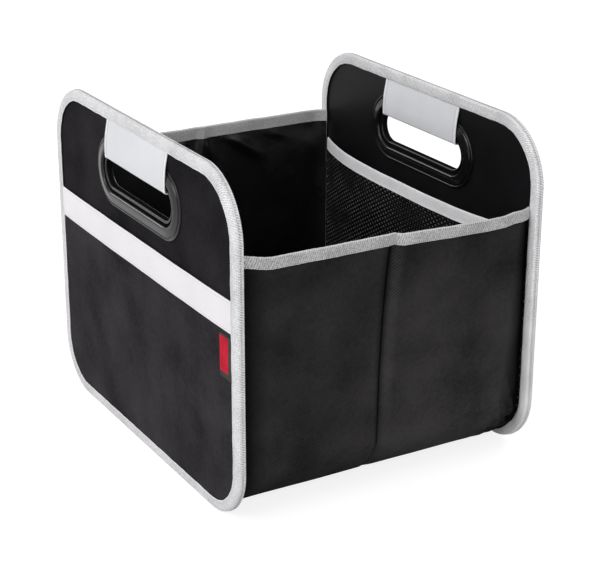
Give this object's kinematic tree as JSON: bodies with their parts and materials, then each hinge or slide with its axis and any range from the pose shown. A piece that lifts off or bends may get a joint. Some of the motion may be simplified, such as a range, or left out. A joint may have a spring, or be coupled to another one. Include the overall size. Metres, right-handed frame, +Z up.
{
  "type": "car trunk organizer",
  "caption": "Folding fabric storage box with stiff handled end panels, soft side walls, mesh pockets and a folding floor.",
  "frame": {"origin": "middle of the footprint, on the ground", "axes": "+X from the left end panel to the right one, +Y from the front wall to the back wall, +Z up"},
  "size_m": [0.2692, 0.32, 0.269],
  "materials": {
    "woven_cloth": "fine plain weave, matte",
    "lining_cloth": "smooth, satin",
    "wall_cloth": "fine weave, coated inside",
    "binding_tape": "ribbed tape, matte",
    "wall_binding_tape": "ribbed tape, matte",
    "grip_tape": "smooth tape",
    "band_tape": "smooth band, satin",
    "tag_cloth": "woven label, matte",
    "mesh_cloth": "open net",
    "ring_plastic": "gloss",
    "stiff_board": "bare board, hidden",
    "floor_cloth": "cloth over board"
  },
  "bodies": {
    "left_panel": {"left_panel_board": "stiff_board", "left_panel_cover": "woven_cloth", "left_panel_lining": "lining_cloth", "left_panel_binding": "binding_tape", "left_grip_ring_outer": "ring_plastic", "left_grip_ring_inner": "ring_plastic", "left_grip_tape": "grip_tape", "left_outer_pocket": "woven_cloth", "left_pocket_band": "band_tape", "left_mesh_pocket": "mesh_cloth", "left_mesh_binding": "binding_tape", "side_tag": "tag_cloth", "wall_cloth": "wall_cloth", "front_wall_binding": "wall_binding_tape", "back_wall_binding": "wall_binding_tape"},
    "floor_left": {"floor_board_left": "floor_cloth", "floor_pull_tab": "grip_tape"},
    "floor_right": {"floor_board_right": "floor_cloth"},
    "right_panel": {"right_panel_board": "stiff_board", "right_panel_cover": "woven_cloth", "right_panel_lining": "lining_cloth", "right_panel_binding": "binding_tape", "right_grip_ring_outer": "ring_plastic", "right_grip_ring_inner": "ring_plastic", "right_grip_tape": "grip_tape", "right_outer_pocket": "woven_cloth", "right_pocket_band": "band_tape", "right_mesh_pocket": "mesh_cloth", "right_mesh_binding": "binding_tape"}
  },
  "joints": [
    {"name": "floor_fold", "type": "hinge", "parent": "left_panel", "child": "floor_left", "pos_m": [-0.12545, 0, 0.0101], "axis": [0, -1, 0], "range_deg": [0, 82], "deforming": ["wall_cloth", "front_wall_binding", "back_wall_binding"]},
    {"name": "floor_middle_fold", "type": "hinge", "parent": "floor_left", "child": "floor_right", "pos_m": [0, 0, 0.0051], "axis": [0, 1, 0], "range_deg": [0, 164]},
    {"name": "right_panel_fold", "type": "hinge", "parent": "floor_right", "child": "right_panel", "pos_m": [0.12545, 0, 0.0101], "axis": [0, -1, 0], "range_deg": [0, 82]}
  ],
  "couplings": [
    {"joint": "floor_middle_fold", "follows": "floor_fold", "ratio": 2},
    {"joint": "right_panel_fold", "follows": "floor_fold", "ratio": 1}
  ]
}
